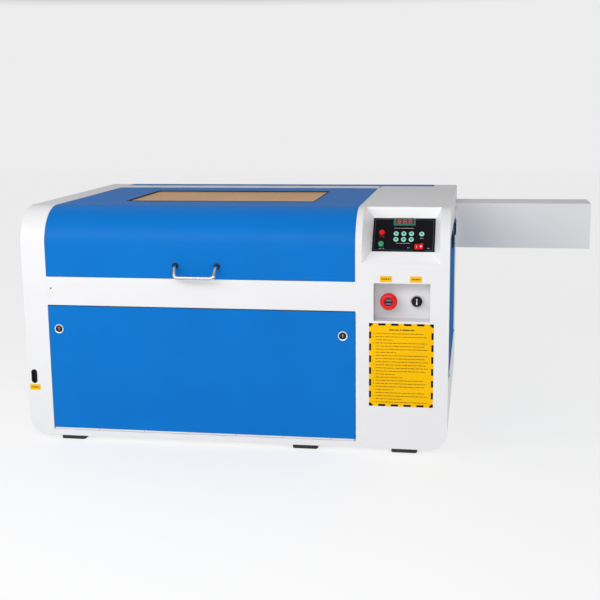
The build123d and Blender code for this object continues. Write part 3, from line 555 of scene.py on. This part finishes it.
def emergency_stop():
    """The mushroom head with a dished, dark centre and two grip marks, and its stem."""
    head = [
        (0, 23.2), (13, 23), (17.6, 24.6), (19.4, 26.8), (20, 29.6), (19.7, 32.4), (18.7, 34.8), (16.8, 36.7),
        (14.2, 37.8), (11.8, 38), (10, 37.7), (9.3, 36.9), (9.1, 35.4),
    ]
    bm = turned(FLOOR, STOP, head, 72)
    turned(FLOOR, STOP, [(9.1, 35.4), (7.6, 35.1), (3.6, 35.1), (0, 35.1)], 72, bm, 1)
    bmesh.ops.remove_doubles(bm, verts=bm.verts, dist=WELD)
    made = piece("estop_mushroom", bm, [RED, BLACK], "estop_head", smooth=SMOOTH)
    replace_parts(made, "estop_head")

    marks = bmesh.new()
    x, z = STOP
    reach_squared = 62  # of the marks' corners from the middle
    for low, high in ((1.6, 6.0), (-6.0, -2.6)):
        near, far = math.sqrt(reach_squared - low * low), math.sqrt(reach_squared - high * high)
        outline = [(x - near, z + low), (x + near, z + low), (x + far, z + high), (x - far, z + high)]
        plate(FLOOR, outline, 35.12, 36.2, 0.3, marks)
    piece("estop_grip_marks", marks, SLATE, "estop_head")

    stem = ring_of(FLOOR, STOP, [(0.1, -18), (7.9, -18), (7.9, 23.2), (0.1, 23.2)], 48)
    made = piece("estop_shaft", stem, BLACK, "estop_stem", smooth=SMOOTH)
    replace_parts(made, "estop_stem")


def switch_bases():
    """What stays still: the stop's collar and contact block, and the key switch's bezel and barrel."""
    collar = [(8.1, 0.1), (14.5, 0.1), (14.5, 9.6), (13.8, 11.2), (12.6, 12), (9.4, 12), (8.1, 11.2)]
    sleeve = [(8.1, -30), (11, -30), (11, 0.1), (8.1, 0.1)]
    bezel = [(11.65, 0.1), (14.5, 0.1), (14.5, 12.0), (14.1, 13.3), (13.1, 14.0), (12.2, 13.8), (11.65, 13.0)]
    barrel = [(0, -45), (11, -45), (11, 2.2), (0, 2.2)]
    stop = ring_of(FLOOR, STOP, collar, 64)
    ring_of(FLOOR, STOP, sleeve, 48, stop)
    block = plate(FRONT, rectangle(*around(STOP, 15, 18)), -95, -70)
    for name, bm, mat, slot, smooth in (
        ("estop_collar", stop, BLACK, "black_plastic", SMOOTH),
        ("key_bezel", ring_of(FLOOR, KEY, bezel, 64), SATIN_CHROME_PAINTED_BRIGHT, "chrome", SMOOTH),
        ("key_barrel", turned(FLOOR, KEY, barrel, 48), BLACK, "black_plastic", SMOOTH),
        ("estop_contact_block", block, BLACK, "black_plastic", None),
    ):
        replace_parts(piece(name, bm, mat, "cabinet", smooth=smooth), "switch_bases")


def key_rotor():
    """The black disc of the key switch, with a pale keyhole mark."""
    disc = [(0, 2.5), (11.4, 2.5), (11.4, 18.0), (11.1, 18.7), (10.4, 19.0), (0, 19.0)]
    made = piece("key_disc", turned(FLOOR, KEY, disc, 64), BLACK, "key_rotor", smooth=SMOOTH)
    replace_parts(made, "key_rotor")
    mark = bmesh.new()
    x, z = KEY
    slot = [(x - 1.3, z - 6.6), (x + 1.5, z - 6.6), (x + 1.25, z + 2.2), (x - 1.05, z + 2.2)]
    for outline in (slot, disc_outline(x + 0.1, z + 5.2, 1.8)):
        plate(FLOOR, outline, 19.01, 19.2, 0.05, mark)
    piece("key_mark", mark, KEY_WHITE, "key_rotor")


emergency_stop()
switch_bases()
key_rotor()

# ---------------------------------------------------------------- door locks


def door_lock(side, x, z):
    """A cam lock: a ring and a well in the door, and a core with its cam and a keyway that turn."""
    centre = (x, z)
    cam_front, cam_back, reach = 18, 20.4, 22  # depths behind the door's face, and the cam's reach
    ring = [(8.1, 0.05), (11.8, 0.05), (11.8, 0.9), (11.3, 2.0), (10.3, 2.7), (9.2, 2.5), (8.3, 1.6)]
    well = [(7.1, -15), (9.3, -15), (9.3, 0.04), (8.2, 0.6), (7.4, 0.9), (7.1, 0.4)]
    core = [
        (0, -cam_back - 1.6), (5, -cam_back - 1.6), (5, -cam_back), (6.9, -cam_front), (6.9, 0.9), (6.3, 1.5),
        (5.4, 1.6), (4.9, 1.1), (0, 1.0),
    ]
    bm = ring_of(FRONT, centre, ring, 64)
    made = piece(f"lock_ring_{side}", bm, SATIN_CHROME_PAINTED_BRIGHT, "front_door", smooth=SMOOTH)
    bm = ring_of(FRONT, centre, well, 48)
    well = piece(f"lock_well_{side}", bm, IRON, "front_door", smooth=SMOOTH)
    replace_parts(made, "lock_barrels")
    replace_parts(well, "lock_barrels")
    bm = turned(FRONT, centre, core, 48)
    made = piece(f"lock_core_{side}_turned", bm, IRON, f"lock_{side}", smooth=SMOOTH)
    bm = plate(FRONT, rounded_outline((x - 6, x + 6), (z - reach, z + 7), 3), -cam_back, -cam_front)
    cam = piece(f"lock_cam_{side}", bm, STEEL, f"lock_{side}")
    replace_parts(made, f"lock_core_{side}")
    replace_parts(cam, f"lock_core_{side}")
    keyway = plate(FRONT, disc_outline(x, z + 2.4, 1.7, 20), 1.12, 1.3)
    plate(FRONT, rectangle((x - 0.7, x + 0.7), (z - 3.8, z + 1.4)), 1.12, 1.3, bm=keyway)
    piece(f"lock_keyway_{side}", keyway, STEEL, f"lock_{side}")


door_lock("left", 87, 268)
door_lock("right", 777, 268)

# ---------------------------------------------------------------- lid handle


def swept(path, radius, bend, sides=20):
    """A round bar along a path of places in millimetres, its corners bent to a radius."""
    points = [Vector(path[0])]
    for before, corner, after in zip(path, path[1:], path[2:]):
        corner = Vector(corner)
        back, on = (Vector(before) - corner).normalized() * bend, (Vector(after) - corner).normalized() * bend
        for n in range(9):
            t = n / 8
            points.append(corner + back * (1 - t) ** 2 + on * t ** 2)
    points.append(Vector(path[-1]))
    across = (points[1] - points[0]).orthogonal().normalized()
    angles = [2 * math.pi * k / sides for k in range(sides)]
    bm = bmesh.new()
    rings = []
    for n, p in enumerate(points):
        along = (points[min(n + 1, len(points) - 1)] - points[max(n - 1, 0)]).normalized()
        across = (across - along * across.dot(along)).normalized()
        other = along.cross(across)
        places = [p + (across * math.cos(a) + other * math.sin(a)) * radius for a in angles]
        rings.append([bm.verts.new(at(*place)) for place in places])
    capped(bm, rings)
    return bm


def lid_handle():
    """The bent chrome bar, leaning out and down from two small flanges on the lid's front."""
    foot_z, bar_y, bar_z = 426, -26.5, 402
    path = [
        (382, 1, foot_z), (383, -14, 424), (386.5, bar_y, bar_z), (479, bar_y, bar_z), (481.5, -14, 424),
        (482, 1, foot_z),
    ]
    foot = [(4.3, 0.05), (7.6, 0.05), (7.6, 1.2), (6.9, 2.0), (5.9, 2.2), (5.7, 4.2), (4.3, 4.6)]
    feet = bmesh.new()
    for x in (382, 482):
        ring_of(FRONT, (x, foot_z), foot, 40, feet)
    made = piece("handle_feet", feet, IRON, "lid", smooth=SMOOTH)
    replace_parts(made, "lid_handle")
    made = piece("handle_bar", swept(path, 4.4, 9), CHROME, "lid", smooth=SMOOTH)
    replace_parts(made, "lid_handle")


lid_handle()

# ---------------------------------------------------------------- back and right side


def screws(name, face, centres, low, body, radius=4.0):
    """Pan-head screws standing on a face from a height, each cross recess a flat black cross on the head: painted
    shade.
    """
    heads, cross_shades = bmesh.new(), bmesh.new()
    head = [
        (0, low), (radius, low), (radius, low + 0.8), (radius * 0.8, low + 1.7), (radius * 0.4, low + 2.1),
        (0, low + 2.2),
    ]
    for centre in centres:
        turned(face, centre, head, 28, heads)
        # painted shade: a black cross stands for the shade in each cross recess
        for wide, tall in ((0.55, 0.14), (0.14, 0.55)):
            arm = rectangle(*around(centre, radius * wide, radius * tall))
            plate(face, arm, low + 1.6, low + 2.25, bm=cross_shades)
    bmesh.ops.remove_doubles(heads, verts=heads.verts, dist=WELD)
    piece(f"{name}_screws", heads, STEEL, body, smooth=SMOOTH)
    piece(f"{name}_screw_cross_shades", cross_shades, INK_AND_RECESS_SHADE, body)


def panel_screws():
    """The screws of the rear panel, the access panel and the tube's box."""
    screws("rear_panel", BACK, [(x, z) for z in (20, 380) for x in (60, 285, 510, 735, 960)], 0.02, "cabinet")
    screws("access_panel", RIGHT, [(y, z) for y in (37, 523) for z in (172, 480)], 0.02, "cabinet", 4.3)
    screws("tube_box", RIGHT, [(y, z) for y in (548, 692) for z in (410, 510)], 0.02, "cabinet", 3.4)


def vent_lips():
    """Black lips round the two groups of three slots high on the right side."""
    half_long, half_tall = 32, 2.5
    bm = bmesh.new()
    for y in (218, 464):
        for z in (454, 466, 478):
            outer, inner = (
                rounded_outline(*around((y, z), half_long + grow, half_tall + grow), 1) for grow in (2, 0.02)
            )
            frame_plate(RIGHT, outer, inner, -1, 4, bm)
    piece("vent_lips", bm, BLACK, "cabinet")


def rear_fittings():
    """Three hose barbs with hexagon nuts, and a mains inlet with three blades and two screws."""
    barbs, nuts = bmesh.new(), bmesh.new()
    bore, root, pitch = 2.5, 3.6, 3.6
    shank = [(bore, -16), (root, -16), (root, 8)]
    for n in range(4):
        shank += [(3.1, 8.4 + pitch * n), (4.0, 9.4 + pitch * n), (3.2, 11.8 + pitch * n)]
    shank += [(2.9, 24), (bore, 24)]
    for x in (880, 915, 950):
        centre = (WIDTH - x, 330)
        ring_of(BACK, centre, shank, 32, barbs)
        for hexagon in (
            [(7.9, 0.05), (7.9, 5.2), (7.2, 5.9), (root, 5.9), (root, 0.05)],
            [(7.9, -6), (7.9, -2.05), (root, -2.05), (root, -6)],
        ):
            ring_of(BACK, centre, hexagon, 6, nuts)

    inlet, blades = bmesh.new(), bmesh.new()
    middle = (WIDTH - 913, 70)

    def outline(half_x, half_z, r):
        return rounded_outline(*around(middle, half_x, half_z), r, 5)

    mouth = outline(12, 8, 2)
    frame_plate(BACK, outline(26, 17, 4), mouth, 0.02, 3, inlet)
    frame_plate(BACK, outline(19.5, 12.5, 2), mouth, -25, 0.02, inlet)
    plate(BACK, outline(12.5, 8.5, 2), -18, -15, bm=inlet)
    frame_plate(BACK, outline(15, 11, 3), mouth, 3, 3.3, inlet)
    for x, z in ((-7, -2), (0, 3), (7, -2)):
        bar(BACK, *around((middle[0] + x, middle[1] + z), 1, 2), -15, -1, blades)
    made = [
        piece("hose_barbs", barbs, BRASS, "cabinet", smooth=SMOOTH),
        piece("hose_nuts", nuts, STEEL, "cabinet"),
        piece("mains_inlet", inlet, BLACK, "cabinet"),
        piece("mains_blades", blades, BRASS, "cabinet"),
    ]
    for new in made:
        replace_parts(new, "rear_fittings")
    screws("inlet", BACK, [(middle[0] - 20.5, 70), (middle[0] + 20.5, 70)], 3.02, "cabinet", 2.6)


def exhaust_flange():
    """The exhaust collar's flange with its six screws, and two beads rolled into the collar."""
    centre = (WIDTH - 433, 210)
    duct = ring_of(BACK, centre, [(75.02, 0.05), (90, 0.05), (90, 1.2), (77.4, 1.2), (75.02, 3.4)], 96)
    for low in (14, 34):
        bead = [(74.9, low), (76.2, low + 0.6), (77, low + 2.2), (76.2, low + 3.8), (74.9, low + 4.4)]
        ring_of(BACK, centre, bead, 96, duct)
    piece("exhaust_flange", duct, STEEL, "cabinet", smooth=SMOOTH)
    angles = [math.radians(30 + 60 * n) for n in range(6)]
    places = [(centre[0] + 83.5 * math.cos(a), centre[1] + 83.5 * math.sin(a)) for a in angles]
    screws("exhaust", BACK, places, 1.2, "cabinet", 3.2)


panel_screws()
vent_lips()
rear_fittings()
exhaust_flange()

# ---------------------------------------------------------------- door hinge, painted gap shade and rail


def hinge_sleeves():
    """White sleeves over the door's own hinge knuckles, so that the whole barrel is the cabinet's colour."""
    hinge_x, axis, knuckles, gap = (62.5, 804), (2.5, 17.5), 13, 0.3
    pitch = (hinge_x[1] - hinge_x[0]) / knuckles
    side = Face(at(0, *axis), (0, 1, 0), (0, 0, 1))
    sleeves = bmesh.new()
    for n in range(1, knuckles, 2):
        low = hinge_x[0] + n * pitch + gap
        high = low + pitch - 2 * gap
        ring_of(side, (0, 0), [(2.45, low), (2.62, low), (2.62, high), (2.45, high)], 24, sleeves)
    piece("hinge_sleeves", sleeves, WHITE, "front_door", smooth=SMOOTH)


def door_gap_shade():
    """A thin black strip in the gaps above the door and to its right: painted shade for the gaps' shadow."""
    bm = bmesh.new()
    # painted shade: black strips stand for the shadow in the door's gaps
    bar(FRONT, (61.5, 806), (325.1, 326.6), -1, 0.3, bm)
    bar(FRONT, (805.6, 807), (20.4, 325.1), -1, 0.3, bm)
    piece("door_gap_shade", bm, RUBBER_AND_GAP_SHADE, "cabinet")


def rail_plug():
    """A flush white plug on the left of the front rail."""
    profile = [(0, 0.02), (5.6, 0.02), (5.6, 0.5), (5.1, 0.9), (4.4, 0.9), (0, 0.7)]
    piece("rail_plug", turned(FRONT, (71.5, 352), profile, 40), WHITE, "cabinet", smooth=SMOOTH)


hinge_sleeves()
door_gap_shade()
rail_plug()

# ---------------------------------------------------------------- labels

LABEL = (0.05, 0.35)  # back and front of a label over the face
INK_ON = (0.36, 0.42)  # and of the ink on it


def label_plate(name, x, z, r):
    """A yellow label's own plate, standing for the CAD's."""
    made = piece(name, plate(FRONT, rounded_outline(x, z, r), *LABEL), YELLOW, "cabinet")
    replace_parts(made, "labels")


def big_label(x, z):
    """The large yellow plate: a dashed black border and plain bars, with nothing written on it."""
    label_plate("label_large", x, z, 2)

    border = bmesh.new()
    band, across, up, share = 5, 5, 7, 0.28
    for count, ends, edges, upright in (
        (across, x, (z[0], z[1] - band), False), (up, z, (x[0], x[1] - band), True),
    ):
        step = (ends[1] - ends[0]) / count
        for edge in edges:
            for n in range(count + 1):
                middle = ends[0] + n * step
                dash = (max(ends[0], middle - step * share), min(ends[1], middle + step * share))
                strip = (edge, edge + band)
                plate(FRONT, rectangle(*((strip, dash) if upright else (dash, strip))), *INK_ON, bm=border)
    piece("label_large_border", border, INK_AND_RECESS_SHADE, "cabinet")

    rows = bmesh.new()
    indent, first, pitch, gap = 15, 24, 7.4, 1.3
    for row in range(23):
        level = z[1] - first - pitch * row
        short = row in (2, 6, 13, 14, 18, 21)
        start = x[0] + indent
        end = start + (35 + row * 17 % 30 if short else 110 + row * 7 % 13)
        k = 0
        while start < end:
            stop = min(end, start + 3 + (row * 5 + k * 7) % 9)
            bar(FRONT, (start, stop), (level - 0.75, level + 0.75), *INK_ON, rows)
            start = stop + gap
            k += 1
        if row in (0, 1, 3, 7, 10, 12, 15, 16, 17, 20, 22):
            bar(FRONT, (x[0] + 9.6, x[0] + 11.6), (level - 0.8, level + 0.8), *INK_ON, rows)
    start = x[0] + 46
    for wide in (12, 8, 4, 17, 9):
        bar(FRONT, (start, start + wide), (z[1] - 16.5, z[1] - 13.6), *INK_ON, rows)
        start += wide + 2
    piece("label_large_bars", rows, ORANGE_INK, "cabinet")


def small_label(name, x, z):
    """A small yellow plate with a row of plain bars."""
    label_plate(name, x, z, 1.2)
    ink = bmesh.new()
    middle = (z[0] + z[1]) / 2
    margin, gap = 3.5, 1.0
    start = x[0] + margin
    n = 0
    while start < x[1] - 4:
        stop = min(x[1] - margin, start + 3 + n % 3)
        bar(FRONT, (start, stop), (middle - 1.6, middle + 1.6), *INK_ON, ink)
        start = stop + gap
        n += 1
    piece(f"{name}_bars", ink, ORANGE_INK, "cabinet")


big_label((838, 986), (103, 300))
small_label("label_stop", (862.5, 890), (396.3, 410))
small_label("label_key", (931, 958), (396.3, 410))
small_label("label_port", (4, 30.6), (113, 127))

# ---------------------------------------------------------------- window seal


def window_seal():
    """A slim black bead along the window's edge, standing on the acrylic."""
    opening_x, opening_y = (205, 684), (190, 475)
    lap = 0.2  # of the bead over the lid's edge
    bead = [(0.2, -1.9), (0.2, 0.5), (-0.6, 0.9), (-1.8, 0.9), (-2.6, 0.2), (-2.6, -1.9)]
    bm = bmesh.new()
    loops = []
    for grow, height in bead:
        x = (opening_x[0] - grow + lap, opening_x[1] + grow - lap)
        y = (opening_y[0] - grow + lap, opening_y[1] + grow - lap)
        outline = rounded_outline(x, y, 3 + grow, 5)
        loops.append([bm.verts.new(TOP.point(*place, height)) for place in outline])
    joined(bm, loops)
    piece("window_seal", bm, RUBBER_AND_GAP_SHADE, "lid", smooth=SMOOTH)


window_seal()

# ---------------------------------------------------------------- stage


def floor():
    """A pale, faintly glowing floor."""
    bm = bmesh.new()
    bmesh.ops.create_grid(bm, x_segments=2, y_segments=2, size=9.0)
    mesh = bpy.data.meshes.new("floor")
    bm.to_mesh(mesh)
    bm.free()
    mesh.materials.append(
        finish_of("floor_paper", (0.3, 0.3, 0.3), 0.8, cloud=0.003, grain=300, edge=0.0, emission=2.15)
    )
    made = bpy.data.objects.new("floor", mesh)
    bpy.context.scene.collection.objects.link(made)


def surround():
    """A grey world: bright at the horizon's foot, dark just above it, and brighter again overhead."""
    world = bpy.data.worlds.new("studio")
    bpy.context.scene.world = world
    world.use_nodes = True
    tree = world.node_tree
    place = node(tree, "ShaderNodeTexCoord")
    split = node(tree, "ShaderNodeSeparateXYZ")
    tree.links.new(place.outputs["Generated"], split.inputs["Vector"])
    ramp = node(tree, "ShaderNodeValToRGB")
    tree.links.new(split.outputs["Z"], ramp.inputs["Fac"])
    stops = ramp.color_ramp.elements
    stops[0].position, stops[1].position = 0.08, 1.0
    for height, tone in ((0.09, 0.28), (0.35, 0.3), (0.6, 0.6)):
        stops.new(height).color = (tone, tone, tone, 1)
    stops[0].color = (0.84, 0.84, 0.84, 1)
    stops[-1].color = (0.6, 0.6, 0.6, 1)
    tree.links.new(ramp.outputs["Color"], tree.nodes["Background"].inputs["Color"])


def key_lamp():
    """The one lamp: long and soft, high on the left front."""
    place, target = Vector((-0.6, -1.75, 1.2)), Vector((-0.1, -0.3, 0.4))
    light = bpy.data.lights.new("key", "AREA")
    light.shape = "RECTANGLE"
    light.size, light.size_y = 3.0, 0.7
    light.energy = 23
    made = bpy.data.objects.new("key", light)
    made.location = place
    made.rotation_euler = (target - place).to_track_quat("-Z", "Y").to_euler()
    bpy.context.scene.collection.objects.link(made)


def camera():
    """The camera: to the right of the machine and above it, looking slightly down and to the left."""
    yaw, pitch, roll = 0.1646, 0.1900, -0.0111
    look = Vector((-math.sin(yaw) * math.cos(pitch), math.cos(yaw) * math.cos(pitch), -math.sin(pitch)))
    level = Vector((math.cos(yaw), math.sin(yaw), 0))
    rise = level.cross(look)
    right = level * math.cos(roll) + rise * math.sin(roll)
    up = rise * math.cos(roll) - level * math.sin(roll)
    lens = bpy.data.cameras.new("camera")
    lens.sensor_width = 36
    lens.lens = 64.24
    lens.clip_start, lens.clip_end = 0.05, 60
    made = bpy.data.objects.new("camera", lens)
    turn = Matrix((right, up, -look)).transposed().to_4x4()
    made.matrix_world = Matrix.Translation(at(1076.4, -2400.5, 818.6)) @ turn
    bpy.context.scene.collection.objects.link(made)
    bpy.context.scene.camera = made


floor()
surround()
key_lamp()
camera()
bpy.context.scene.view_settings.view_transform = "Standard"
